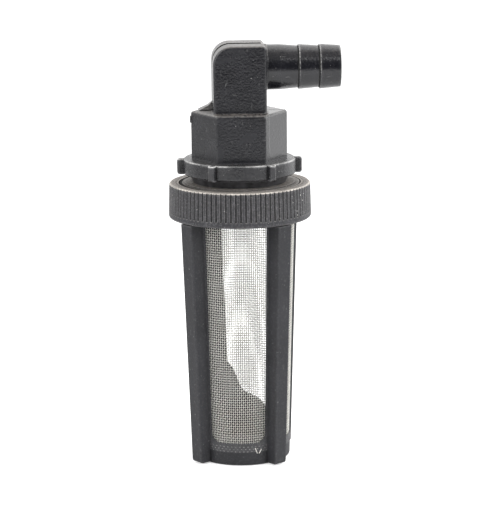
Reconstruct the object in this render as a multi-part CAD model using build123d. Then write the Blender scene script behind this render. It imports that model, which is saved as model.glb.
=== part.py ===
from build123d import *
import math
import os

# Mesh filter screen: a moulded basket with a woven sleeve in its wall, closed by a lid that a
# knurled union nut clamps down. An elbow hose fitting screws through a lock nut and a cone gasket
# into the lid. Millimetres, axis on Z, hose tail along +X, origin in the middle of the underside.

# Basket frame
basket_height = 122.0
basket_turn = -8.0
floor_thickness = 2.4
floor_edge_round = 0.8
window_sill = 10.4
window_corner = 4.6
window_top_corner = 1.2
window_half_angle = 33.6
film_thickness = 0.4
inner_wall = 0.7
rib_count = 4
rib_depth_foot = 5.8
rib_depth_top = 6.8
rib_half_width_foot = 3.25
rib_half_width_top = 3.7
rib_root_spread = 0.3
rib_edge_round = 0.6
rib_foot_round = 1.5
rib_foot_lift = 0.4
rim_step = 3.8
rim_chamfer = 0.8

# Woven sleeve in the wall of the basket
mesh_radius_foot = 21.7
mesh_radius_rim = 25.3
mesh_wall = 0.8
mesh_clearance = 0.1
mesh_foot_depth = 3.7
mesh_head_depth = 5.6
gap_columns = 3
gap_rows = 8
gap_bar = 2.2
ridge_groove_width = 1.4
ridge_depth = 0.3

# Rear window: a wide strut at one side, and a web of flash across its lower corner. The web's
# edge is given as a share of the window's half width and a height above its sill.
web_strut_share = 0.83
web_height = 27.4
web_shoulder_height = 19.0
web_bend_height = 13.4
web_slope_height = 10.1
web_toe_height = 5.8
web_edge = [
    (0.70, web_height),
    (0.34, web_shoulder_height),
    (0.10, web_bend_height),
    (-0.45, web_slope_height),
    (-0.79, web_toe_height),
    (-0.9, 0),
]

# Union nut
thread_clearance = 0.3
thread_engagement = 9.3
nut_gap = 0.3
nut_wall_top = 2.8
nut_wall_bottom = 3.2
nut_lip_height = 2.2
nut_edge_chamfer = 0.5
nut_foot_round = 1.2
nut_plain_band = 1.6
knurl_count = 90
knurl_depth = 0.5
knurl_width = 1.0

# Lid and its flat gasket
lid_gasket_thickness = 1.5
lid_flange_thickness = 2.9
lid_flange_width = 1.8
lid_hub_clearance = 0.4
lid_step_width = 2.0
lid_step_height = 0.4
lid_boss_wall = 3.4
lid_boss_depth = 8.5
lid_plate = 3.0

# Lock nut and cone gasket
cone_gasket_height = 3.7
cone_gasket_wall_bottom = 4.7
cone_gasket_wall_top = 6.2
cone_gasket_bead = 0.4
cone_gasket_bead_height = 0.7
lock_nut_height = 7.1
lock_nut_wall = 9.3
lock_nut_round = 1.1
lug_count = 6
lug_width = 3.0
lug_reach = 2.8
lug_round = 1.2

# Elbow fitting
stub_radius = 16.4
stub_clearance = 0.2
stub_length = 24.5
stub_chamfer = 1.0
stub_wall = 4.9
hex_across_flats = 38.0
hex_height = 21.6
hex_corner_round = 1.0
hex_top_round = 1.2
neck_cone_height = 6.0
elbow_wall = 1.75
elbow_side_wall = 3.5
elbow_roof = 0.65
elbow_back_round = 8.3
elbow_front_round = 1.8
elbow_side_round = 1.2
elbow_foot_round = 0.9
tail_axis_height = 19.5
tail_wall = 2.75
tail_root_radius = 10.25
tail_root_length = 6.4
tail_bead = 0.3
tail_bead_width = 0.8
tail_neck_drop = 0.75
tail_neck_length = 8.6
barb_count = 2
barb_length = 9.45
barb_crest_drop = 0.1
barb_end_drop = 0.83
barb_crest_land = 0.5
channel_width = 4.4
channel_depth = 0.8
parting_width = 0.6
parting_depth = 0.3
gusset_reach = 6.4
gusset_height = 3.6
gusset_knee = 2.0
gusset_knee_height = 2.0
gusset_start = 0.6
gusset_depth = 7.5
gusset_lip = 0.5
gusset_slope = 40.0
nub_radius = 0.9
nub_reach = 0.9
nub_height = 3.4
nub_drop = 2.0

# Levels along the axis, each piece resting on the one below it
nut_bottom = basket_height - thread_engagement
window_top = nut_bottom - nut_gap
lid_bottom = basket_height + lid_gasket_thickness
lid_flange_top = lid_bottom + lid_flange_thickness
nut_top = lid_flange_top + nut_lip_height
lid_top = nut_top + lid_step_height
lock_nut_bottom = lid_top + cone_gasket_height
hex_bottom = lock_nut_bottom + lock_nut_height
hex_top = hex_bottom + hex_height
tail_axis = hex_top + tail_axis_height
elbow_top = tail_axis + tail_root_radius + elbow_roof
mesh_bottom = window_sill - mesh_foot_depth
mesh_top = window_top + mesh_head_depth

# Radii and widths that follow from the piece inside or beside them
thread_radius = mesh_radius_rim + rim_step
nut_bore = thread_radius + thread_clearance
nut_radius_top = nut_bore + nut_wall_top
nut_radius_bottom = nut_bore + nut_wall_bottom
lid_hub_radius = thread_radius - lid_flange_width
lid_step_radius = lid_hub_radius - lid_step_width
stub_hole = stub_radius + stub_clearance
stub_bore_radius = stub_radius - stub_wall
lock_nut_radius = stub_radius + lock_nut_wall
tail_bore_radius = tail_root_radius - tail_wall
elbow_half_width = tail_root_radius + elbow_wall
elbow_half_depth = tail_root_radius + elbow_side_wall
tail_neck_start = elbow_half_width + tail_root_length
barb_start = tail_neck_start + tail_neck_length
tail_length = barb_start + barb_count * barb_length
rib_pitch = 360 / rib_count
gap_pitch = 2 * window_half_angle / gap_columns
row_pitch = (window_top - window_sill) / gap_rows
knurl_bottom = nut_bottom + nut_foot_round + nut_plain_band


def mesh_radius(z):
    return mesh_radius_foot + (mesh_radius_rim - mesh_radius_foot) * z / basket_height


def inner_radius(z):
    return mesh_radius(z) - mesh_wall - inner_wall


def film_radius(z):
    return mesh_radius(z) + film_thickness


def window_half_width(z):
    return mesh_radius(z) * math.sin(math.radians(window_half_angle))


rim_bore = inner_radius(window_top)


def turned(*points):
    return revolve(make_face(Plane.XZ * Polyline(*points, close=True)), Axis.Z)


def tapered(radius_at, low, high):
    return turned((0, low), (radius_at(low), low), (radius_at(high), high), (0, high))


def sleeve_wall(clearance):
    top = mesh_top + clearance
    return turned(
        (mesh_radius(mesh_bottom) - mesh_wall - clearance, mesh_bottom),
        (mesh_radius(mesh_bottom) + clearance, mesh_bottom),
        (mesh_radius(top) + clearance, top),
        (mesh_radius(top) - mesh_wall - clearance, top),
    )


def window_plane(angle):
    outward = Vector(1, 0, 0).rotate(Axis.Z, angle)
    sideways = Vector(0, 1, 0).rotate(Axis.Z, angle)
    return Plane(origin=(0, 0, 0), x_dir=sideways, z_dir=outward)


def window_cut(angle, outline):
    return extrude(window_plane(angle) * outline, amount=nut_radius_top)


def plain_window(angle):
    at_sill = window_half_width(window_sill)
    at_top = window_half_width(window_top)
    outline = make_face(
        Polyline(
            (-at_sill, window_sill),
            (at_sill, window_sill),
            (at_top, window_top),
            (-at_top, window_top),
            close=True,
        )
    )
    corners = outline.vertices().group_by(Axis.Y)
    outline = fillet(corners[0], window_corner)
    outline = fillet(outline.vertices().group_by(Axis.Y)[-1], window_top_corner)
    return window_cut(angle, outline)


def webbed_window(angle):
    at_sill = window_half_width(window_sill)
    at_top = window_half_width(window_top)
    edge = [(share * at_sill, window_sill + height) for share, height in web_edge]
    rest = Polyline(
        edge[-1],
        (-at_sill, window_sill),
        (-at_top, window_top),
        (at_top * web_strut_share, window_top),
        edge[0],
    )
    return window_cut(angle, make_face(Spline(*edge) + rest))


def rib(angle):
    def section(z, depth, half_width):
        root = inner_radius(z) + inner_wall / 2
        radius = mesh_radius(z) + depth
        spread = half_width + rib_root_spread
        points = ((root, -spread), (radius, -half_width), (radius, half_width), (root, spread))
        return Pos(0, 0, z) * make_face(Polyline(*points, close=True))

    bar = loft(
        [
            section(rib_foot_lift, rib_depth_foot, rib_half_width_foot),
            section(window_top, rib_depth_top, rib_half_width_top),
        ]
    )
    foot = bar.edges().group_by(Axis.Z)[0].sort_by(Axis.X)[-1]
    bar = fillet(foot, rib_foot_round)
    outer = bar.edges().sort_by(SortBy.LENGTH)[-4:].sort_by(Axis.X)[-2:]
    return Rot(0, 0, angle) * fillet(outer, rib_edge_round)


def basket_frame():
    wall = tapered(film_radius, 0, window_top)
    wall = fillet(wall.edges().sort_by(Axis.Z)[0], floor_edge_round)
    first_rib = basket_turn + rib_pitch / 2
    windows = [plain_window(basket_turn + rib_pitch * i) for i in (0, 2, 3)]
    windows.append(webbed_window(basket_turn + rib_pitch))
    frame = wall - windows
    frame += [rib(first_rib + rib_pitch * i) for i in range(rib_count)]
    rim = turned(
        (rim_bore, window_top),
        (thread_radius - rim_chamfer, window_top),
        (thread_radius, window_top + rim_chamfer),
        (thread_radius, basket_height - rim_chamfer),
        (thread_radius - rim_chamfer, basket_height),
        (rim_bore, basket_height),
    )
    frame += rim
    frame -= tapered(inner_radius, floor_thickness, window_top)
    return frame - sleeve_wall(mesh_clearance)


def sleeve_holes():
    for column in range(gap_columns):
        turn = gap_pitch * (column - (gap_columns - 1) / 2)
        for row in range(gap_rows):
            z = window_sill + row_pitch * (row + 0.5)
            width = mesh_radius(z) * math.radians(gap_pitch) - gap_bar
            hole = Box(mesh_radius_rim / 2, width, row_pitch - gap_bar)
            yield Rot(0, 0, turn) * Pos(mesh_radius(z), 0, z) * hole


def ridge_grooves():
    for row in range(1, gap_rows):
        z = window_sill + row_pitch * row
        bottom = mesh_radius(z) - ridge_depth
        mouth = mesh_radius(z) + ridge_depth
        yield turned((bottom, z), (mouth, z - ridge_groove_width), (mouth, z + ridge_groove_width))


def mesh_sleeve():
    turns = [basket_turn + rib_pitch * i for i in range(rib_count)]
    sleeve = Rot(0, 0, basket_turn + rib_pitch / 2) * sleeve_wall(0)
    sleeve -= [Rot(0, 0, turn) * hole for turn in turns for hole in sleeve_holes()]
    return sleeve - list(ridge_grooves())


def lid_gasket():
    return turned(
        (rim_bore, basket_height),
        (thread_radius - rim_chamfer, basket_height),
        (thread_radius - rim_chamfer, lid_bottom),
        (rim_bore, lid_bottom),
    )


def lid():
    boss_radius = stub_hole + lid_boss_wall
    boss_end = lid_bottom - lid_boss_depth
    ceiling = lid_top - lid_plate
    pocket_edge = rim_bore - lid_hub_clearance
    return turned(
        (stub_hole, boss_end),
        (boss_radius, boss_end),
        (boss_radius, ceiling),
        (pocket_edge, ceiling),
        (pocket_edge, lid_bottom),
        (thread_radius, lid_bottom),
        (thread_radius, lid_flange_top),
        (lid_hub_radius, lid_flange_top),
        (lid_hub_radius, nut_top),
        (lid_step_radius, nut_top),
        (lid_step_radius, lid_top),
        (stub_hole, lid_top),
    )


def nut_radius(z):
    rise = (z - nut_bottom) / (nut_top - nut_bottom)
    return nut_radius_bottom + (nut_radius_top - nut_radius_bottom) * rise


def knurl_outline(z):
    crest = nut_radius(z)
    mouth = math.degrees(knurl_width / 2 / crest)
    points = []
    for i in range(knurl_count):
        turn = 360 / knurl_count * i
        points.append(Vector(crest, 0).rotate(Axis.Z, turn - mouth))
        points.append(Vector(crest - knurl_depth, 0).rotate(Axis.Z, turn))
        points.append(Vector(crest, 0).rotate(Axis.Z, turn + mouth))
    return Pos(0, 0, z) * make_face(Polyline(*points, close=True))


def union_nut():
    opening = lid_hub_radius + lid_hub_clearance
    foot = tapered(nut_radius, nut_bottom, knurl_bottom)
    foot = fillet(foot.edges().sort_by(Axis.Z)[0], nut_foot_round)
    band = loft([knurl_outline(knurl_bottom), knurl_outline(nut_top)], ruled=True)
    edge = turned(
        (nut_radius_top - nut_edge_chamfer, nut_top),
        (nut_radius_top + nut_edge_chamfer, nut_top),
        (nut_radius_top + nut_edge_chamfer, nut_top - nut_edge_chamfer * 2),
    )
    inside = turned(
        (0, nut_bottom),
        (nut_bore, nut_bottom),
        (nut_bore, lid_flange_top),
        (opening, lid_flange_top),
        (opening, nut_top),
        (0, nut_top),
    )
    return foot + band - edge - inside


def cone_gasket():
    bead_bottom = lock_nut_bottom - cone_gasket_bead_height
    radius_top = stub_radius + cone_gasket_wall_top
    return turned(
        (stub_hole, lid_top),
        (stub_radius + cone_gasket_wall_bottom, lid_top),
        (radius_top, bead_bottom),
        (radius_top + cone_gasket_bead, bead_bottom),
        (radius_top + cone_gasket_bead, lock_nut_bottom),
        (stub_hole, lock_nut_bottom),
    )


def lock_nut():
    middle = lock_nut_bottom + lock_nut_height / 2
    disc = Pos(0, 0, middle) * Cylinder(lock_nut_radius, lock_nut_height)
    nut = fillet(disc.edges().filter_by(GeomType.CIRCLE), lock_nut_round)
    lug_radius = lock_nut_radius + lug_reach
    lug = Pos(lug_radius / 2, 0, middle) * Box(lug_radius, lug_width, lock_nut_height)
    outer = lug.faces().sort_by(Axis.X)[-1]
    lug = fillet(outer.edges(), lug_round)
    nut += [Rot(0, 0, 360 / lug_count * i) * lug for i in range(lug_count)]
    return nut - Pos(0, 0, middle) * Cylinder(stub_hole, lock_nut_height)


def hose_tail():
    bead_start = elbow_half_width - tail_bead_width
    bead_end = elbow_half_width + tail_bead_width
    neck = tail_root_radius - tail_neck_drop
    points = [
        (0, 0),
        (neck, 0),
        (neck, bead_start),
        (tail_root_radius + tail_bead, bead_start),
        (tail_root_radius + tail_bead, bead_end - tail_bead),
        (tail_root_radius, bead_end),
        (tail_root_radius, tail_neck_start),
    ]
    crest_radius = tail_root_radius - barb_crest_drop
    for i in range(barb_count):
        crest = barb_start + barb_length * i
        points.append((neck, crest))
        points.append((crest_radius, crest))
        points.append((crest_radius, crest + barb_crest_land))
        neck = tail_root_radius - barb_end_drop
    points += [(neck, tail_length), (0, tail_length)]
    return Pos(0, 0, tail_axis) * Rot(0, 90, 0) * turned(*points)


def elbow_outline(inset):
    half = elbow_half_width - inset
    top = elbow_top - inset
    outline = make_face(
        Polyline((-half, hex_bottom), (half, hex_bottom), (half, top), (-half, top), close=True)
    )
    upper = outline.vertices().group_by(Axis.Y)[-1].sort_by(Axis.X)
    outline = fillet(upper[0], elbow_back_round - inset)
    upper = outline.vertices().group_by(Axis.Y)[-1].sort_by(Axis.X)
    return fillet(upper[-1], elbow_front_round)


def elbow_block():
    block = extrude(Plane.XZ * elbow_outline(0), amount=elbow_half_depth, both=True)
    ends = block.faces().sort_by(Axis.Y)
    edges = ends[0].edges() + ends[-1].edges()
    edges = [edge for edge in edges if edge.center().Z > hex_bottom + 0.01]
    return fillet(edges, elbow_side_round)


def elbow_channel():
    around = elbow_outline(-channel_depth) - elbow_outline(channel_depth)
    strip = extrude(Plane.XZ * around, amount=channel_width / 2, both=True)
    above_gusset = Box(
        elbow_half_width * 4,
        channel_width * 2,
        elbow_top,
        align=(Align.MAX, Align.CENTER, Align.MIN),
    )
    return strip & Pos(elbow_half_width - elbow_front_round, 0, hex_top + gusset_height) * above_gusset


def parting_line():
    across = Pos(0, 0, hex_top) * Box(hex_across_flats * 2, parting_width, parting_depth * 2)
    inside = Pos(0, 0, hex_top) * Box(elbow_half_width * 2, elbow_half_depth, hex_height)
    return across - inside


def gusset():
    start = -elbow_half_width
    points = (
        (start + elbow_side_round, hex_top - hex_top_round),
        (start + elbow_side_round, hex_top + gusset_height),
        (start, hex_top + gusset_height),
        (start - gusset_knee, hex_top + gusset_knee_height),
        (start - gusset_reach, hex_top),
        (start - gusset_reach, hex_top - hex_top_round),
    )
    wedge = extrude(Plane.XZ * make_face(Polyline(*points, close=True)), amount=-gusset_depth)
    above = Box(
        elbow_half_width * 4,
        gusset_depth * 2,
        gusset_height * 4,
        align=(Align.CENTER, Align.CENTER, Align.MIN),
    )
    front = Pos(0, gusset_start, hex_top + gusset_lip) * Rot(gusset_slope, 0, 0) * above
    return Pos(0, gusset_start, 0) * wedge - front


def flow_bore():
    neck_top = hex_top - neck_cone_height / 2
    neck_bottom = neck_top - neck_cone_height
    down = turned(
        (0, hex_bottom - stub_length),
        (stub_bore_radius, hex_bottom - stub_length),
        (stub_bore_radius, neck_bottom),
        (tail_bore_radius, neck_top),
        (tail_bore_radius, tail_axis),
        (0, tail_axis),
    )
    corner = Pos(0, 0, tail_axis) * Sphere(tail_bore_radius)
    along = Pos(tail_length / 2, 0, tail_axis) * Rot(0, 90, 0)
    return down + corner + along * Cylinder(tail_bore_radius, tail_length)


def elbow_fitting():
    hexagon = RegularPolygon(hex_across_flats / 2, 6, major_radius=False)
    head = extrude(Pos(0, 0, hex_bottom) * hexagon, amount=hex_height)
    head = fillet(head.edges().filter_by(Axis.Z), hex_corner_round)
    head = fillet(head.edges().group_by(Axis.Z)[-1], hex_top_round)
    fitting = head + elbow_block()
    seam = fitting.edges().filter_by_position(Axis.Z, hex_top - 0.01, hex_top + 0.01)
    reach = math.hypot(elbow_half_width, elbow_half_depth)
    seam = [edge for edge in seam if math.hypot(edge.center().X, edge.center().Y) < reach]
    seam = [edge for edge in seam if abs(edge.center().X) < elbow_half_width + 0.01]
    seam = [edge for edge in seam if abs(edge.center().Y) < elbow_half_depth + 0.01]
    fitting = fillet(seam, elbow_foot_round)
    stub = Pos(0, 0, hex_bottom - stub_length / 2) * Cylinder(stub_radius, stub_length)
    stub = chamfer(stub.edges().sort_by(Axis.Z)[0], stub_chamfer)
    corner = hex_across_flats / math.sqrt(3) - hex_corner_round / 2
    nub = Cylinder(nub_radius, nub_height)
    nub = fillet(nub.edges().filter_by(GeomType.CIRCLE), nub_radius / 2)
    nub_level = hex_top - nub_drop - nub_height / 2
    fitting += [stub, hose_tail(), gusset()]
    fitting += Pos(-corner - nub_reach + nub_radius, 0, nub_level) * nub
    return fitting - elbow_channel() - parting_line() - flow_bore()


pieces = {
    "basket_frame": basket_frame,
    "mesh_sleeve": mesh_sleeve,
    "lid_gasket": lid_gasket,
    "lid": lid,
    "union_nut": union_nut,
    "cone_gasket": cone_gasket,
    "lock_nut": lock_nut,
    "elbow_fitting": elbow_fitting,
}

os.makedirs("parts", exist_ok=True)
for name, make in pieces.items():
    export_step(make(), f"parts/{name}.step")
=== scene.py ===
import bpy
import math
import numpy as np
from mathutils import Matrix, Vector


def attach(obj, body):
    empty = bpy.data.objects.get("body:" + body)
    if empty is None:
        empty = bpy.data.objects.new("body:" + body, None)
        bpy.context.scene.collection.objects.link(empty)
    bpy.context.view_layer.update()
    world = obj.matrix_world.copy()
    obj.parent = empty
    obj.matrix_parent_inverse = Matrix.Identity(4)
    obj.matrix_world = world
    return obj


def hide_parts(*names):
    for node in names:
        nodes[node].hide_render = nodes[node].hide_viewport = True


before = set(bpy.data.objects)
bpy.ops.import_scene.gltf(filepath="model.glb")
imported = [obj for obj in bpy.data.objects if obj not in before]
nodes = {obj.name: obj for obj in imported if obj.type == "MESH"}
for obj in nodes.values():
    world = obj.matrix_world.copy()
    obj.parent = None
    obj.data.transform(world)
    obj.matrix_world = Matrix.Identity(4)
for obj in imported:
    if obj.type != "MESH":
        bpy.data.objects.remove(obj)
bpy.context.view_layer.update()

scene = bpy.context.scene
scene.view_settings.view_transform = "Standard"
print("frame loaded:", len(nodes), "pieces")

mm = 0.001


# small helpers for materials

def startMaterial(name):
    mat = bpy.data.materials.new(name)
    mat.use_nodes = True
    tree = mat.node_tree
    return mat, tree, tree.nodes["Principled BSDF"]


def link(tree, source, target):
    tree.links.new(source, target)


def objectCoords(tree, stretch=(1, 1, 1), move=(0, 0, 0)):
    coords = tree.nodes.new("ShaderNodeTexCoord")
    mapping = tree.nodes.new("ShaderNodeMapping")
    mapping.inputs["Scale"].default_value = stretch
    mapping.inputs["Location"].default_value = move
    link(tree, coords.outputs["Object"], mapping.inputs["Vector"])
    return mapping.outputs["Vector"]


def axesOf(tree, vector):
    split = tree.nodes.new("ShaderNodeSeparateXYZ")
    link(tree, vector, split.inputs[0])
    return split.outputs


def surfaceAxes(tree, kind="Normal"):
    geometry = tree.nodes.new("ShaderNodeNewGeometry")
    return axesOf(tree, geometry.outputs[kind])


def axisDistance(tree, shift=0.0):
    flat = tree.nodes.new("ShaderNodeVectorMath")
    flat.operation = "LENGTH"
    link(tree, objectCoords(tree, (1, 1, 0), (-shift, 0, 0)), flat.inputs[0])
    return flat.outputs["Value"]


def noise(tree, vector, perMetre, detail=3.0, rough=0.55):
    tex = tree.nodes.new("ShaderNodeTexNoise")
    tex.inputs["Scale"].default_value = perMetre
    tex.inputs["Detail"].default_value = detail
    tex.inputs["Roughness"].default_value = rough
    link(tree, vector, tex.inputs["Vector"])
    return tex.outputs["Fac"]


def ramp(tree, value, low, high, start=0.0, end=1.0):
    spread = tree.nodes.new("ShaderNodeMapRange")
    spread.inputs["From Min"].default_value = low
    spread.inputs["From Max"].default_value = high
    spread.inputs["To Min"].default_value = start
    spread.inputs["To Max"].default_value = end
    link(tree, value, spread.inputs["Value"])
    return spread.outputs["Result"]


def smooth(tree, value, low, high, start=0.0, end=1.0):
    result = ramp(tree, value, low, high, start, end)
    result.node.interpolation_type = "SMOOTHSTEP"
    return result


def combine(tree, operation, first, second):
    node = tree.nodes.new("ShaderNodeMath")
    node.operation = operation
    for socket, value in zip(node.inputs, (first, second)):
        if isinstance(value, (int, float)):
            socket.default_value = value
        else:
            link(tree, value, socket)
    return node.outputs[0]


def times(tree, product, *factors):
    for factor in factors:
        product = combine(tree, "MULTIPLY", product, factor)
    return product


def plus(tree, total, *terms):
    for term in terms:
        total = combine(tree, "ADD", total, term)
    return total


def mixValues(tree, share, atNone, atFull):
    return plus(tree, times(tree, share, atFull - atNone), atNone)


def inBetween(tree, value, low, high, blur):
    rise = ramp(tree, value, low - blur, low, 0, 1)
    fall = ramp(tree, value, high, high + blur, 1, 0)
    return times(tree, rise, fall)


def blendColors(tree, factor, first, second):
    mix = tree.nodes.new("ShaderNodeMix")
    mix.data_type = "RGBA"
    link(tree, factor, mix.inputs[0])
    for socket, value in ((mix.inputs[6], first), (mix.inputs[7], second)):
        if isinstance(value, tuple):
            socket.default_value = (*value, 1)
        else:
            link(tree, value, socket)
    return mix.outputs[2]


def facingUp(tree, low, high):
    return ramp(tree, surfaceAxes(tree)["Z"], low, high)


def openness(tree, reach):
    shade = tree.nodes.new("ShaderNodeAmbientOcclusion")
    shade.only_local = True
    shade.samples = 6
    shade.inputs["Distance"].default_value = reach
    return shade.outputs["AO"]


def bump(tree, shader, height, strength, distance):
    node = tree.nodes.new("ShaderNodeBump")
    node.inputs["Strength"].default_value = strength
    node.inputs["Distance"].default_value = distance
    link(tree, height, node.inputs["Height"])
    link(tree, node.outputs["Normal"], shader.inputs["Normal"])


# painted shade: darker colour on the front wall of the elbow's channel and on the inside of the basket,
# where shade falls

channel = {
    "facing": (-0.8, -0.9),  # only the wall that faces the front
    "X": (-14.0 * mm, 11.8 * mm),
    "Y": (-3.5 * mm, 3.5 * mm),
    "Z": (162.5 * mm, 195.0 * mm),
    "blur": 0.2 * mm,
}
basketInside = {"fade": (0, -5 * mm), "amount": 0.9}  # painted shade inside the basket; fade by the normal's outward part times the radius


# painted shade on the channel wall that faces the front
def channelShade(tree):
    spot = axesOf(tree, objectCoords(tree))
    shadeMask = ramp(tree, surfaceAxes(tree)["Y"], *channel["facing"])
    for axis in "XYZ":
        shadeMask = times(tree, shadeMask, inBetween(tree, spot[axis], *channel[axis], channel["blur"]))
    return shadeMask


# painted shade: faces turned towards the basket's axis get darker, as if unlit inside
def insideShade(tree):
    spot = axesOf(tree, objectCoords(tree))
    normal = surfaceAxes(tree)
    alongX = times(tree, normal["X"], spot["X"])
    alongY = times(tree, normal["Y"], spot["Y"])
    outward = plus(tree, alongX, alongY)
    return ramp(tree, outward, *basketInside["fade"], 0, basketInside["amount"])


# moulded plastics

moulded = {  # shared by all of them; each pair in a Noise is detail and roughness
    "patchNoise": (4.0, 0.55),
    "patchRange": (0.35, 0.68),
    "grainNoise": (3.0, 0.65),
    "grainRange": (0.50, 0.72),
    "scratchNoise": (2.0, 0.4),
    "scratchRange": (0.72, 0.76),
    "scratchSqueeze": 0.25,
    "wornRange": (0.93, 0.6),
    "rubbedGrain": (0.35, 0.6, 0.5, 1),
    "bandGrain": (0.35, 0.55, 0.35, 1),
    "bandPatches": (0.2, 0.8, 0.3, 1.5),
    "bandFacing": (0.97, 0.90),  # level tops take no band
    "bandBlur": 0.15 * mm,
    "recessShadeRange": (0.35, 0.95),
    "dustNoise": (6.0, 0.75),
    "dustMatt": 0.35,
    "speckNoise": (1.0, 0.5),
    "speckRange": (0.76, 0.79),
    "grimeBlur": (0.15 * mm, 0.2 * mm),  # across the gap and in height
    "shadeMatt": 0.6,
    "sideFacing": (-0.9, -0.98),
    "skinNoise": (3.0, 0.6),
    "scratchDepth": -0.15,
    "grainDepth": 0.5,
}


def scratches(tree, stretch, perMetre):
    lines = noise(tree, objectCoords(tree, stretch), perMetre, *moulded["scratchNoise"])
    return ramp(tree, lines, *moulded["scratchRange"])


def wornEdges(tree, reach):
    inward = openness(tree, reach)
    inward.node.inside = True
    return ramp(tree, inward, *moulded["wornRange"])


# a band by radius and height, for a worn pale edge with painted highlight on a top rim
def rimBand(tree, radius, low, high):
    blur = moulded["bandBlur"]
    outside = ramp(tree, axisDistance(tree), radius - blur, radius + blur)
    height = axesOf(tree, objectCoords(tree))["Z"]
    return times(tree, outside, inBetween(tree, height, low, high, blur))


# painted shade: a dark ring in the gap between lid and ring, where shade falls
def grimyGap(tree, inner, outer, low, high, shift, amount):
    acrossBlur, heightBlur = moulded["grimeBlur"]
    ring = inBetween(tree, axisDistance(tree, shift), inner, outer, acrossBlur)
    height = axesOf(tree, objectCoords(tree))["Z"]
    return times(tree, ring, inBetween(tree, height, low, high, heightBlur), amount)


# painted highlight with edge wear on rounded edges that face up, where the light from above falls, and
# the worn band with painted highlight
def wornAndHighlightedRims(tree, look, patches, grain, rubbed):
    rim = times(tree, rubbed, facingUp(tree, *look["rimFacing"]), look["rimAmount"])
    if "rimBand" in look:
        lightened = times(
            tree,
            rimBand(tree, *look["rimBand"]),
            ramp(tree, grain, *moulded["bandGrain"]),
            facingUp(tree, *moulded["bandFacing"]),
            ramp(tree, patches, *moulded["bandPatches"]),
            look["bandAmount"],
        )
        rim = plus(tree, rim, lightened)
    return rim


def fallenDust(tree, look, coords):
    powder = noise(tree, coords, look["dustPerMetre"], *moulded["dustNoise"])
    lying = ramp(tree, powder, *look["dustRange"])
    return times(tree, facingUp(tree, *look["dustFacing"]), lying, look["dustAmount"])


def plasticLayers(tree, look, coords):
    blotches = noise(tree, coords, look["patchPerMetre"], *moulded["patchNoise"])
    patches = ramp(tree, blotches, *moulded["patchRange"])
    grain = noise(tree, coords, look["grainPerMetre"], *moulded["grainNoise"])
    squeeze = moulded["scratchSqueeze"]
    upright = scratches(tree, (1, 1, squeeze), look["scratchPerMetre"])
    sideways = scratches(tree, (squeeze, 1, 1), look["scratchPerMetre"])
    marks = plus(tree, upright, sideways)
    rubbed = times(tree, wornEdges(tree, look["edgeReach"]), ramp(tree, grain, *moulded["rubbedGrain"]))
    skin = noise(tree, coords, look["skinPerMetre"], *moulded["skinNoise"])
    dents = times(tree, marks, moulded["scratchDepth"])
    return {
        "patches": patches,
        "grain": grain,
        "marks": marks,
        "rubbed": rubbed,
        "rim": wornAndHighlightedRims(tree, look, patches, grain, rubbed),
        "dust": fallenDust(tree, look, coords),
        "gloss": ramp(tree, patches, 0, 1, *look["rough"]),
        "relief": plus(tree, skin, dents, times(tree, grain, moulded["grainDepth"])),
    }


def fadeOnTail(tree, tail, layers):
    along = axesOf(tree, objectCoords(tree))["X"]
    onBlock = ramp(tree, along, tail["start"], tail["start"] + tail["blur"], 1, 0)
    for layer in ("dust", "rim", "gloss", "relief"):
        layers[layer] = times(tree, layers[layer], mixValues(tree, onBlock, tail[layer], 1))


def smoothLeftSide(tree, amount, layers):
    side = ramp(tree, surfaceAxes(tree, "True Normal")["X"], *moulded["sideFacing"])
    for layer in ("gloss", "relief"):
        layers[layer] = times(tree, layers[layer], mixValues(tree, side, 1, 1 - amount))


def barbLines(tree, tail, lines, amount):
    along = axesOf(tree, objectCoords(tree))["X"]
    return [times(tree, inBetween(tree, along, *line, tail["lineBlur"]), amount) for line in lines]


# painted highlights on the barb crests, broken by the grain, on the upper half of the tail only
def paintCrestHighlights(tree, tail, grain):
    height = axesOf(tree, objectCoords(tree))["Z"]
    rubbed = ramp(tree, grain, *tail["crestGrain"])
    above = ramp(tree, height, *tail["crestHighlightLevels"])
    lines = barbLines(tree, tail, tail["highlightCrests"], tail["crestAmount"])
    return [times(tree, line, rubbed, above) for line in lines]


def plasticColor(tree, look, coords, layers):
    color = blendColors(tree, layers["patches"], look["dark"], look["light"])
    coarse = ramp(tree, layers["grain"], *moulded["grainRange"], 0, look["grainAmount"])
    color = blendColors(tree, coarse, color, look["grain"])
    scratched = times(tree, layers["marks"], look["scratchAmount"])
    color = blendColors(tree, scratched, color, look["scratch"])
    lightened = times(tree, layers["rubbed"], look["edgeAmount"])
    color = blendColors(tree, lightened, color, look["edge"])
    color = blendColors(tree, layers["dust"], color, look["dust"])
    # painted highlight with wear on the rims
    color = blendColors(tree, ramp(tree, layers["rim"], 0, 1), color, look["rim"])
    # painted shade: darker colour in crevices and grooves, found by ambient occlusion
    recessShade = openness(tree, look["recessShadeReach"])
    recessShade = ramp(tree, recessShade, *moulded["recessShadeRange"], look["recessShadeAmount"], 0)
    color = blendColors(tree, recessShade, color, look["recessShade"])
    specks = noise(tree, coords, look["speckPerMetre"], *moulded["speckNoise"])
    specks = times(tree, ramp(tree, specks, *moulded["speckRange"]), look["speckAmount"])
    return blendColors(tree, specks, color, look["speck"])


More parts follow.
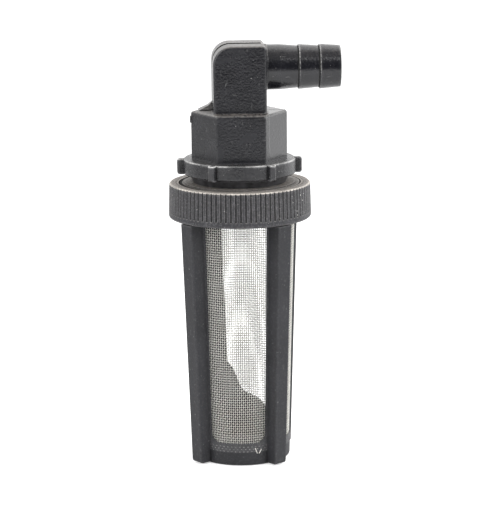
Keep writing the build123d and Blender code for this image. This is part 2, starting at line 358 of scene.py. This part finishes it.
def mouldedPlastic(name, look):
    mat, tree, shader = startMaterial(name)
    coords = objectCoords(tree)
    layers = plasticLayers(tree, look, coords)
    highlightCrests = []
    shadeLines = [grimyGap(tree, *gap) for gap in look.get("grime", [])]
    if "tail" in look:
        tail = look["tail"]
        fadeOnTail(tree, tail, layers)
        highlightCrests = paintCrestHighlights(tree, tail, layers["grain"])
        # painted shadow lines where each barb's step meets the neck
        shadeLines += barbLines(tree, tail, tail["stepShadows"], tail["stepShadowAmount"])
    if "sideSmooth" in look:
        smoothLeftSide(tree, look["sideSmooth"], layers)
    color = plasticColor(tree, look, coords, layers)
    gloss = layers["gloss"]
    # painted highlights on the barb crests
    for highlightCrest in highlightCrests:
        color = blendColors(tree, highlightCrest, color, look["rim"])
    # painted shade in the gaps and at the barb steps, also made matt
    for shadeLine in shadeLines:
        color = blendColors(tree, shadeLine, color, look["recessShade"])
        gloss = plus(tree, gloss, times(tree, shadeLine, moulded["shadeMatt"]))
    # painted shade from the look's own mask, in the dark shade colour
    if "shadeMask" in look:
        color = blendColors(tree, look["shadeMask"](tree), color, look["recessShade"])
    gloss = plus(tree, gloss, times(tree, layers["dust"], moulded["dustMatt"]))
    link(tree, color, shader.inputs["Base Color"])
    link(tree, gloss, shader.inputs["Roughness"])
    shader.inputs["Specular IOR Level"].default_value = look["specular"]
    bump(tree, shader, layers["relief"], look["skinStrength"], look["skinDepth"])
    return mat


blackLook = {
    "dark": (0.007, 0.0071, 0.0095),
    "light": (0.0135, 0.0136, 0.0172),
    "patchPerMetre": 95,
    "grain": (0.042, 0.042, 0.046),
    "grainAmount": 0.3,
    "grainPerMetre": 1000,
    "scratch": (0.12, 0.12, 0.12),
    "scratchAmount": 0.5,
    "scratchPerMetre": 900,
    "edge": (0.11, 0.11, 0.116),
    "edgeAmount": 0.6,
    "edgeReach": 1.1 * mm,
    # painted highlight colour for edges facing up, with wear
    "rim": (0.58, 0.57, 0.55),
    "rimAmount": 0.9,
    "rimFacing": (0.55, 0.85),
    "recessShade": (0.004, 0.004, 0.004),
    "recessShadeAmount": 0.9,
    "recessShadeReach": 1.3 * mm,
    "dust": (0.275, 0.245, 0.22),
    "dustAmount": 0.7,
    "dustFacing": (0.35, 0.98),
    "dustRange": (0.40, 0.62),
    "dustPerMetre": 800,
    "speck": (0.45, 0.44, 0.42),
    "speckAmount": 0.6,
    "speckPerMetre": 1100,
    "rough": (0.18, 0.31),
    "specular": 0.6,
    "skinPerMetre": 1000,
    "skinStrength": 0.85,
    "skinDepth": 0.17 * mm,
}
fittingLook = {
    **blackLook,
    "sideSmooth": 0.75,
    # painted shade in the elbow's channel
    "shadeMask": channelShade,
    "tail": {  # where it starts, its shares of what the block has, and the painted shadow and highlight lines at its barbs
        "start": 12.6 * mm,
        "blur": 0.5 * mm,
        "dust": 0.2,
        "rim": 0.4,
        "gloss": 0.5,
        "relief": 0.4,
        # painted shadow lines at the barb steps
        "stepShadows": [(26.4 * mm, 26.95 * mm), (35.85 * mm, 36.4 * mm)],
        "stepShadowAmount": 0.95,
        # painted highlight lines on the barb crests
        "highlightCrests": [(27.05 * mm, 27.4 * mm), (36.5 * mm, 36.85 * mm)],
        "crestAmount": 0.9,
        "crestGrain": (0.42, 0.62, 0.02, 0.5),
        "crestHighlightLevels": (177.5 * mm, 182.0 * mm),
        "lineBlur": 0.1 * mm,
    },
}
lockNutLook = {
    **blackLook,
    "dark": (0.016, 0.016, 0.018),
    "light": (0.028, 0.028, 0.031),
    "edge": (0.26, 0.26, 0.27),
    # painted highlight colour for the lock nut's rims, with wear
    "rim": (0.80, 0.79, 0.77),
    "rimAmount": 0.8,
    "rimFacing": (0.7, 0.95),
    "rimBand": (25.05 * mm, 139.3 * mm, 139.75 * mm),  # worn pale band and painted highlight on the top rim: radius, low, high
    "bandAmount": 0.4,
    "dust": (0.20, 0.19, 0.18),
    "dustAmount": 0.25,
    "rough": (0.20, 0.32),
}
dustyLook = {
    "dark": (0.0165, 0.0163, 0.020),
    "light": (0.029, 0.0287, 0.034),
    "patchPerMetre": 120,
    "grain": (0.165, 0.163, 0.175),
    "grainAmount": 0.5,
    "grainPerMetre": 1200,
    "scratch": (0.16, 0.15, 0.14),
    "scratchAmount": 0.35,
    "scratchPerMetre": 900,
    "edge": (0.36, 0.35, 0.34),
    "edgeAmount": 0.7,
    "edgeReach": 0.9 * mm,
    # painted highlight colour for edges facing up, cream with wear
    "rim": (0.74, 0.69, 0.62),
    "rimAmount": 1.0,
    "rimFacing": (0.15, 0.6),
    "recessShade": (0.006, 0.006, 0.006),
    "recessShadeAmount": 0.9,
    "recessShadeReach": 0.9 * mm,
    "dust": (0.50, 0.45, 0.40),
    "dustAmount": 0.9,
    "dustFacing": (0.35, 0.95),
    "dustRange": (0.34, 0.66),
    "dustPerMetre": 950,
    "speck": (0.80, 0.78, 0.74),
    "speckAmount": 0.9,
    "speckPerMetre": 1000,
    "rough": (0.42, 0.56),
    "specular": 0.5,
    "skinPerMetre": 1100,
    "skinStrength": 0.6,
    "skinDepth": 0.14 * mm,
}
ringLook = {
    **dustyLook,
    # worn pale band and painted highlight on the ring's top rim
    "rimBand": (30.9 * mm, 128.2 * mm, 129.0 * mm),
    "bandAmount": 0.6,
    "grime": [  # painted shade rings in the gaps: inner and outer radius, low, high, shift to the right, amount
        (27.0 * mm, 27.95 * mm, 126.0 * mm, 130.0 * mm, 0.0, 0.9),
        (29.0 * mm, 29.15 * mm, 128.0 * mm, 130.0 * mm, 0.0, 0.45),
    ],
}
lidLook = {
    **dustyLook,
    "dark": (0.030, 0.028, 0.027),
    "light": (0.055, 0.050, 0.046),
    "edgeAmount": 0.35,
    # painted highlight colour for the lid's edges, with wear
    "rim": (0.40, 0.38, 0.36),
    "rimAmount": 0.6,
    "dustAmount": 0.6,
    "dustRange": (0.42, 0.62),
    "dustPerMetre": 1500,
    # painted shade in the gap round the lid, wider on the left
    "grime": [(27.15 * mm, 30.0 * mm, 126.0 * mm, 130.0 * mm, 0.75 * mm, 0.95)],
}
basketLook = {
    "dark": (0.0135, 0.0137, 0.0165),
    "light": (0.022, 0.0222, 0.0265),
    "patchPerMetre": 70,
    "grain": (0.058, 0.058, 0.064),
    "grainAmount": 0.5,
    "grainPerMetre": 1000,
    "scratch": (0.17, 0.17, 0.17),
    "scratchAmount": 0.3,
    "scratchPerMetre": 800,
    "edge": (0.12, 0.12, 0.125),
    "edgeAmount": 0.5,
    "edgeReach": 0.9 * mm,
    # painted highlight colour for the basket's edges, with wear
    "rim": (0.24, 0.24, 0.24),
    "rimAmount": 0.6,
    "rimFacing": (0.15, 0.6),
    "recessShade": (0.008, 0.008, 0.008),
    "recessShadeAmount": 0.5,
    "recessShadeReach": 1.5 * mm,
    "dust": (0.30, 0.28, 0.26),
    "dustAmount": 0.5,
    "dustFacing": (0.5, 0.95),
    "dustRange": (0.36, 0.64),
    "dustPerMetre": 900,
    "speck": (0.45, 0.44, 0.42),
    "speckAmount": 0.25,
    "speckPerMetre": 1000,
    "rough": (0.40, 0.54),
    "specular": 0.45,
    "skinPerMetre": 1000,
    "skinStrength": 0.45,
    "skinDepth": 0.12 * mm,
    # painted shade on the basket's inside
    "shadeMask": insideShade,
}


# rubber of both gaskets

rubberLook = {
    "dark": (0.036, 0.036, 0.039),
    "light": (0.080, 0.080, 0.085),
    "patchPerMetre": 300,
    "patchDetail": 4.0,
    "patchRange": (0.35, 0.65),
    "rough": (0.40, 0.60),
    "specular": 0.35,
    "skinPerMetre": 2500,
    "skinDetail": 2.0,
    "skinStrength": 0.2,
    "skinDepth": 0.08 * mm,
}


def gasketRubber(look):
    mat, tree, shader = startMaterial("gasketRubber")
    coords = objectCoords(tree)
    blotches = noise(tree, coords, look["patchPerMetre"], look["patchDetail"])
    patches = ramp(tree, blotches, *look["patchRange"])
    link(tree, blendColors(tree, patches, look["dark"], look["light"]), shader.inputs["Base Color"])
    link(tree, ramp(tree, patches, 0, 1, *look["rough"]), shader.inputs["Roughness"])
    shader.inputs["Specular IOR Level"].default_value = look["specular"]
    skin = noise(tree, coords, look["skinPerMetre"], look["skinDetail"])
    bump(tree, shader, skin, look["skinStrength"], look["skinDepth"])
    return mat


rubber = gasketRubber(rubberLook)
finishes = {
    "elbow_fitting": mouldedPlastic("fittingPlastic", fittingLook),
    "lock_nut": mouldedPlastic("lockNutPlastic", lockNutLook),
    "union_nut": mouldedPlastic("ringPlastic", ringLook),
    "lid": mouldedPlastic("lidPlastic", lidLook),
    "basket_frame": mouldedPlastic("basketPlastic", basketLook),
    "cone_gasket": rubber,
    "lid_gasket": rubber,
}
for name, mat in finishes.items():
    mesh = nodes[name].data
    mesh.materials.clear()
    mesh.materials.append(mat)
print("materials made:", len(finishes))


# wire, with painted shade where it passes under another and on the basket's inside

wireLook = {
    "dark": (0.78, 0.76, 0.70),
    "light": (0.97, 0.95, 0.90),
    # painted shade colour for the wire
    "wireShade": (0.045, 0.043, 0.038),
    "wireShadeRange": (0.2, 0.65),
    "patchPerMetre": 260,
    "patchNoise": (5.0, 0.6),
    "patchRange": (0.32, 0.68),
    "rough": (0.30, 0.5),
    "metallic": 0.45,
    "skinPerMetre": 6000,
    "skinDetail": 2.0,
    "skinStrength": 0.2,
    "skinDepth": 0.02 * mm,
}
# painted shade: the warp a little darker than the weft, since the upright wires catch less of the light
# from above
shadedWarpLook = {**wireLook, "dark": (0.76, 0.75, 0.70), "light": (0.96, 0.95, 0.90)}
footLook = {**wireLook, "dark": (0.24, 0.235, 0.22), "light": (0.55, 0.53, 0.50)}


def wireMetal(name, look):
    mat, tree, shader = startMaterial(name)
    coords = objectCoords(tree)
    blotches = noise(tree, coords, look["patchPerMetre"], *look["patchNoise"])
    patches = ramp(tree, blotches, *look["patchRange"])
    color = blendColors(tree, patches, look["dark"], look["light"])
    # painted shade where the wire passes under a crossing one
    knuckle = tree.nodes.new("ShaderNodeAttribute")
    knuckle.attribute_name = "knuckle"
    shadedUnder = ramp(tree, knuckle.outputs["Fac"], *look["wireShadeRange"], 1, 0)
    color = blendColors(tree, shadedUnder, color, look["wireShade"])
    # painted shade on the basket's inside
    color = blendColors(tree, insideShade(tree), color, look["wireShade"])
    link(tree, color, shader.inputs["Base Color"])
    link(tree, ramp(tree, patches, 0, 1, *look["rough"]), shader.inputs["Roughness"])
    shader.inputs["Metallic"].default_value = look["metallic"]
    skin = noise(tree, coords, look["skinPerMetre"], look["skinDetail"])
    bump(tree, shader, skin, look["skinStrength"], look["skinDepth"])
    return mat


# woven wire sleeve

sleeve = {
    "footRadius": 21.7 * mm,  # outside of the cloth at z 0
    "rimRadius": 25.3 * mm,  # outside of the cloth at the basket's rim
    "rimHeight": 122.0 * mm,
    "low": 8.6 * mm,
    "high": 114.4 * mm,
    "warpCount": 152,
    "weftPitch": 1.13 * mm,
    "wire": 0.285 * mm,
    "sides": 5,
    "windows": 4,
    "windowCentre": -8.0,  # degrees from +X
    "windowHalf": 36.0,
    "depth": 0.38 * mm,  # from the cloth's outside to its middle
    "jitter": 0.025 * mm,  # of every wire's place
    "sway": 0.1 * mm,  # of a warp to the side
    "swayTurn": 9,  # radians over the cloth's height
    "swayStep": 0.21,  # radians from warp to warp
    "ripple": 0.05 * mm,  # of a weft up and down
    "rippleTurn": 5,  # waves in one turn round the cloth
    "rippleStep": 0.13,  # radians from weft to weft
    "seed": 7,
}


def clothRadius(z):
    slope = (sleeve["rimRadius"] - sleeve["footRadius"]) / sleeve["rimHeight"]
    return sleeve["footRadius"] + slope * z - sleeve["depth"]


def outwardAt(turn):
    return np.stack([np.cos(turn), np.sin(turn), 0 * turn], axis=-1)


def tubes(name, runs, wire, sides, mat):
    turn = np.arange(sides) / sides * 2 * math.pi
    here = np.arange(sides)
    after = (here + 1) % sides
    verts, faces, shown = [], [], []
    start = 0
    for path, outward, over in runs:
        along = np.gradient(path, axis=0)
        along /= np.linalg.norm(along, axis=1)[:, None]
        across = np.cross(along, outward)
        across /= np.linalg.norm(across, axis=1)[:, None]
        upright = np.cross(across, along)
        ring = across[:, None, :] * np.cos(turn)[:, None] + upright[:, None, :] * np.sin(turn)[:, None]
        verts.append((path[:, None, :] + ring * wire / 2).reshape(-1, 3))
        first = start + np.arange(len(path) - 1)[:, None] * sides
        nextRing = first + sides
        quads = np.stack([first + here, first + after, nextRing + after, nextRing + here], axis=-1)
        faces.append(quads.reshape(-1, 4)[:, ::-1])
        shown.append(np.repeat(over, sides))
        start += len(path) * sides
    mesh = bpy.data.meshes.new(name)
    mesh.from_pydata(np.concatenate(verts).tolist(), [], np.concatenate(faces).tolist())
    mesh.shade_smooth()
    knuckle = mesh.attributes.new("knuckle", "FLOAT", "POINT")
    knuckle.data.foreach_set("value", np.concatenate(shown).astype(np.float32))
    mesh.materials.append(mat)
    piece = bpy.data.objects.new(name, mesh)
    scene.collection.objects.link(piece)
    return piece


def inWindow(turn):
    step = 360 / sleeve["windows"]
    away = (math.degrees(turn) - sleeve["windowCentre"] + step / 2) % step - step / 2
    return abs(away) < sleeve["windowHalf"]


def openStretches(turns):  # the warps of each window, counted on from one behind a rib
    count = len(turns)
    start = next(i for i in range(count) if not inWindow(turns[i]))
    stretches, run = [], []
    for step in range(count + 1):
        i = (start + step) % count
        if inWindow(turns[i]):
            run.append(i)
        else:
            stretches.append(run)
            run = []
    return [np.array(run) for run in stretches if len(run) > 2]


def warpRun(i, turn, levels, radiusAt, lift):
    over = (np.arange(len(levels)) + i) % 2 == 0
    radius = radiusAt(levels) + np.where(over, lift, -lift)
    phase = levels / sleeve["high"] * sleeve["swayTurn"] + i * sleeve["swayStep"]
    sway = np.sin(phase) * sleeve["sway"]
    path = radius[:, None] * outwardAt(turn) + sway[:, None] * outwardAt(turn + math.pi / 2)
    path[:, 2] = levels
    return path, np.tile(outwardAt(turn), (len(levels), 1)), over


def weftRun(j, z, stretch, turns, radiusAt, lift):
    over = (stretch + j) % 2 == 1
    outward = outwardAt(turns[stretch])
    path = outward * (radiusAt(z) + np.where(over, lift, -lift))[:, None]
    phase = turns[stretch] * sleeve["rippleTurn"] + j * sleeve["rippleStep"]
    path[:, 2] = z + np.sin(phase) * sleeve["ripple"]
    return path, outward, over


def weaveCloth(names, low, high, radiusAt, lift, mats):
    rng = np.random.default_rng(sleeve["seed"])
    count = sleeve["warpCount"]
    rows = int((high - low) / sleeve["weftPitch"])
    levels = low + np.arange(rows) * sleeve["weftPitch"] + rng.normal(0, sleeve["jitter"], rows)
    turns = (np.arange(count) + 0.5) * 2 * math.pi / count
    turns = turns + rng.normal(0, sleeve["jitter"], count) / sleeve["footRadius"]
    stretches = openStretches(turns)
    warps = [warpRun(i, turn, levels, radiusAt, lift) for i, turn in enumerate(turns) if inWindow(turn)]
    wefts = [
        weftRun(j, z, stretch, turns, radiusAt, lift)
        for j, z in enumerate(levels)
        for stretch in stretches
    ]
    warp = tubes(names[0], warps, sleeve["wire"], sleeve["sides"], mats[0])
    weft = tubes(names[1], wefts, sleeve["wire"], sleeve["sides"], mats[1])
    return warp, weft


warpWire = wireMetal("warpWire", shadedWarpLook)
weftWire = wireMetal("weftWire", wireLook)
warp, weft = weaveCloth(
    ("meshWarp", "meshWeft"),
    sleeve["low"],
    sleeve["high"],
    clothRadius,
    sleeve["wire"] / 2,
    (warpWire, weftWire),
)
for piece in (warp, weft):
    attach(piece, "root")
    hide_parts("mesh_sleeve")
print("cloth woven:", len(warp.data.polygons), "+", len(weft.data.polygons), "faces")


# rows of the cloth that show through the thin plastic of the foot

footRows = {
    "low": 6.7 * mm,
    "high": 10.8 * mm,
    "film": 0.4 * mm,  # plastic over the cloth
    "sunk": 0.145 * mm,
    "lift": 0.05 * mm,
}


def footRadius(z):
    return clothRadius(z) + sleeve["depth"] + footRows["film"] - footRows["sunk"]


footWarp, footWeft = weaveCloth(
    ("footWarp", "footWeft"),
    footRows["low"],
    footRows["high"],
    footRadius,
    footRows["lift"],
    (finishes["basket_frame"], wireMetal("footWire", footLook)),
)
for piece in (footWarp, footWeft):
    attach(piece, "root")
print("foot rows made")


# frayed wire ends on the foot of the basket

frayed = {
    "wire": 0.34 * mm,
    "sides": 6,
    "points": 7,
    "bow": 0.12 * mm,
    "film": 0.42 * mm,
    "ends": [  # turn in degrees from +X, height, length, lean as a share of the length
        (-76.3, 7.0 * mm, 2.6 * mm, 0.39),
        (-71.4, 6.5 * mm, 1.9 * mm, -0.635),
    ],
}


def frayedEnds(mat):
    along = np.linspace(-0.5, 0.5, frayed["points"])
    runs = []
    for degrees, z, length, lean in frayed["ends"]:
        turn = math.radians(degrees)
        outward = np.tile(outwardAt(turn), (frayed["points"], 1))
        radius = clothRadius(z) + sleeve["depth"] + frayed["film"]
        bowed = radius + np.cos(along * math.pi) * frayed["bow"]
        leaning = along * length * lean
        path = outward * bowed[:, None] + outwardAt(turn + math.pi / 2) * leaning[:, None]
        path[:, 2] = z - along * length
        runs.append((path, outward, np.ones(frayed["points"])))
    return tubes("frayedEnds", runs, frayed["wire"], frayed["sides"], mat)


ends = frayedEnds(weftWire)
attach(ends, "root")
print("frayed ends made")


# floor and world; each Fade is where a change starts and ends

studio = {
    "floorColor": (0.86, 0.86, 0.86),
    "floorGlow": 0.5,
    "floorSize": 6.0,
    "floorDrop": 0.2 * mm,
    "floorRough": 0.9,
    "floorDim": 0.25,  # share of the floor's colour left in front, where the camera never looks
    "frontFade": (-0.76, -0.90),
    "frontGlow": 0.16,  # paper in front, for all but camera rays
    "glowFade": (-0.12, -0.35),
    "leftDim": 0.6,
    "leftFade": (-0.2, -0.7),
    "rightDim": 0.45,
    "rightFade": (0.0, 0.35),
    "frontLevel": 0.05,
    "behindLevel": 1.3,
    "behindFade": (-0.1, 0.45),
    "leftShare": 0.8,
    "sideFade": (-0.7, 0.5),
    "aboveLevel": 0.45,
    "aboveFade": (0.3, 0.9),
}


def floorPaper():
    mat, tree, shader = startMaterial("floorPaper")
    place = surfaceAxes(tree, "Position")
    toFront = smooth(tree, place["Y"], *studio["frontFade"], 1, 0)
    toLeft = smooth(tree, place["X"], *studio["leftFade"], 1, 1 - studio["leftDim"])
    toRight = smooth(tree, place["X"], *studio["rightFade"], 1, 1 - studio["rightDim"])
    lit = times(tree, toFront, toLeft, toRight)
    dim = tuple(part * studio["floorDim"] for part in studio["floorColor"])
    unseen = blendColors(tree, lit, dim, studio["floorColor"])
    rays = tree.nodes.new("ShaderNodeLightPath")
    seen = rays.outputs["Is Camera Ray"]
    link(tree, blendColors(tree, seen, unseen, studio["floorColor"]), shader.inputs["Base Color"])
    shader.inputs["Roughness"].default_value = studio["floorRough"]
    shader.inputs["Specular IOR Level"].default_value = 0.0
    near = smooth(tree, place["Y"], *studio["glowFade"], 0, studio["frontGlow"])
    unseenGlow = times(tree, near, lit, ramp(tree, seen, 0, 1, 1, 0))
    glow = tree.nodes.new("ShaderNodeEmission")
    strength = plus(tree, times(tree, seen, studio["floorGlow"]), unseenGlow)
    link(tree, strength, glow.inputs["Strength"])
    total = tree.nodes.new("ShaderNodeAddShader")
    link(tree, shader.outputs[0], total.inputs[0])
    link(tree, glow.outputs[0], total.inputs[1])
    link(tree, total.outputs[0], tree.nodes["Material Output"].inputs["Surface"])
    return mat


def floorPlane():
    size = studio["floorSize"] / 2
    mesh = bpy.data.meshes.new("floor")
    corners = [(-size, -size, 0), (size, -size, 0), (size, size, 0), (-size, size, 0)]
    mesh.from_pydata(corners, [], [(0, 1, 2, 3)])
    floor = bpy.data.objects.new("floor", mesh)
    scene.collection.objects.link(floor)
    floor.location.z = -studio["floorDrop"]
    mesh.materials.append(floorPaper())


def whiteWorld():
    world = bpy.data.worlds.new("studioWhite")
    scene.world = world
    world.use_nodes = True
    tree = world.node_tree
    background = tree.nodes["Background"]
    background.inputs["Color"].default_value = (1, 1, 1, 1)
    coords = tree.nodes.new("ShaderNodeTexCoord")
    toward = axesOf(tree, coords.outputs["Generated"])
    behind = smooth(tree, toward["Y"], *studio["behindFade"])
    side = smooth(tree, toward["X"], *studio["sideFade"], studio["leftShare"], 1.0)
    paper = times(tree, behind, side, studio["behindLevel"])
    levels = (studio["frontLevel"], studio["aboveLevel"])
    above = smooth(tree, toward["Z"], *studio["aboveFade"], *levels)
    room = plus(tree, paper, above)
    rays = tree.nodes.new("ShaderNodeLightPath")
    mix = tree.nodes.new("ShaderNodeMix")
    link(tree, rays.outputs["Is Camera Ray"], mix.inputs[0])
    link(tree, room, mix.inputs[2])
    mix.inputs[3].default_value = 1.0
    link(tree, mix.outputs[0], background.inputs["Strength"])


# lamps: power, width and height, place, what each one aims at

middle = (0, 0, 0.1)
lamps = {
    "leftBox": (9.5, (1.0, 1.0), (-0.88, -0.58, 0.75), middle),
    "rightBox": (13.0, (1.0, 1.0), (0.88, -0.58, 0.75), middle),
    "leftStrip": (1.2, (0.07, 0.8), (-0.95, -0.55, 0.45), middle),
    "rightStrip": (1.2, (0.07, 0.8), (0.95, -0.55, 0.45), middle),
    "rightPanel": (0.75, (0.5, 0.5), (0.42, 0.24, 0.26), (0, 0, 0.16)),
}


def softLight(name, power, size, place, aim):
    data = bpy.data.lights.new(name, "AREA")
    data.energy = power
    data.shape = "RECTANGLE"
    data.size, data.size_y = size
    lamp = bpy.data.objects.new(name, data)
    lamp.location = place
    lamp.rotation_euler = (Vector(aim) - Vector(place)).to_track_quat("-Z", "Y").to_euler()
    lamp.visible_camera = False
    scene.collection.objects.link(lamp)


# camera, as the photograph was taken; angles in degrees

view = {
    "target": (-0.9 * mm, 0.0, 93.8 * mm),
    "distance": 1.012,
    "pitch": 12.0,
    "azimuth": -2.7,
    "roll": -0.6,
    "sensor": 36.0,
    "focalPixels": 2200,
    "framePixels": 512,
}


def placeCamera():
    data = bpy.data.cameras.new("photoCamera")
    data.sensor_fit = "VERTICAL"
    data.sensor_height = view["sensor"]
    data.lens = view["focalPixels"] / view["framePixels"] * view["sensor"]
    camera = bpy.data.objects.new("photoCamera", data)
    pitch = math.radians(view["pitch"])
    around = math.radians(view["azimuth"])
    flat = math.cos(pitch)
    away = Vector((math.sin(around) * flat, -math.cos(around) * flat, math.sin(pitch)))
    camera.location = Vector(view["target"]) + away * view["distance"]
    look = (-away).to_track_quat("-Z", "Y").to_matrix().to_4x4()
    roll = Matrix.Rotation(math.radians(view["roll"]), 4, "Z")
    camera.matrix_world = Matrix.Translation(camera.location) @ look @ roll
    scene.collection.objects.link(camera)
    scene.camera = camera


floorPlane()
whiteWorld()
for name, lamp in lamps.items():
    softLight(name, *lamp)
placeCamera()
print("studio set")
